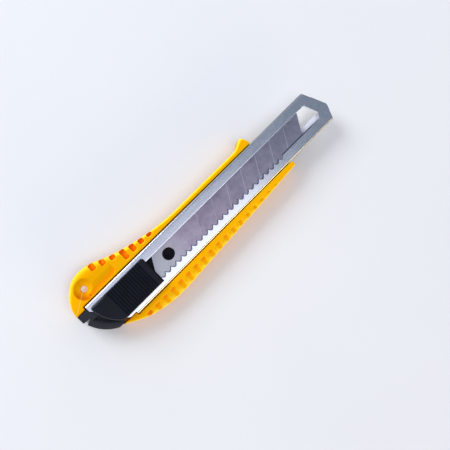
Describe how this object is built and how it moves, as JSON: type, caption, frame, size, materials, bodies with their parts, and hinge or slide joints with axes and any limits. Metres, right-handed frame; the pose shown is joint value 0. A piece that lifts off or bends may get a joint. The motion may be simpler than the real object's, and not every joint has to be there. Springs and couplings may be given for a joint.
{
  "type": "utility knife",
  "caption": "Snap-off utility knife with a moulded yellow grip, steel sleeve, scored blade on a self-locking thumb slide, and a pull-out end cap.",
  "frame": {"origin": "on the grip's flat back, on the sleeve's centreline, at the middle of the knife's length", "axes": "+X to the tip along the knife's length, +Y to the cutting edge, +Z out of the slider face"},
  "size_m": [0.158, 0.0416, 0.0155],
  "materials": {
    "yellow_abs": "satin moulded ABS, golden yellow",
    "sleeve_steel": "plated sheet steel with a fine grain",
    "blade_steel": "ground carbon steel, slightly dark",
    "spring_steel": "bright",
    "black_plastic": "satin black moulding"
  },
  "bodies": {
    "handle": {"grip_body": "yellow_abs", "sleeve": "sleeve_steel", "front_rivet": "spring_steel", "rear_rivet": "spring_steel"},
    "carriage": {"blade_holder": "black_plastic", "blade": "blade_steel"},
    "thumb_slide": {"slider_button": "black_plastic"},
    "lock": {"lock_spring": "spring_steel"},
    "cap": {"end_cap": "black_plastic"}
  },
  "joints": [
    {"name": "blade_slide", "type": "slide", "parent": "handle", "child": "carriage", "axis": [1, 0, 0], "range_m": [0, 0.08436]},
    {"name": "unlock_shift", "type": "slide", "parent": "carriage", "child": "thumb_slide", "axis": [1, 0, 0], "range_m": [0, 0.001], "stiffness_N_per_m": 800},
    {"name": "lock_flex", "type": "hinge", "parent": "carriage", "child": "lock", "pos_m": [-0.059, -0.0031, 0.012], "axis": [0, 0, 1], "range_deg": [0, 8]},
    {"name": "cap_pull", "type": "slide", "parent": "handle", "child": "cap", "axis": [-1, 0, 0], "range_m": [0, 0.016]}
  ],
  "couplings": [
    {"joint": "lock_flex", "follows": "unlock_shift", "rad_per_m": 139.62}
  ]
}
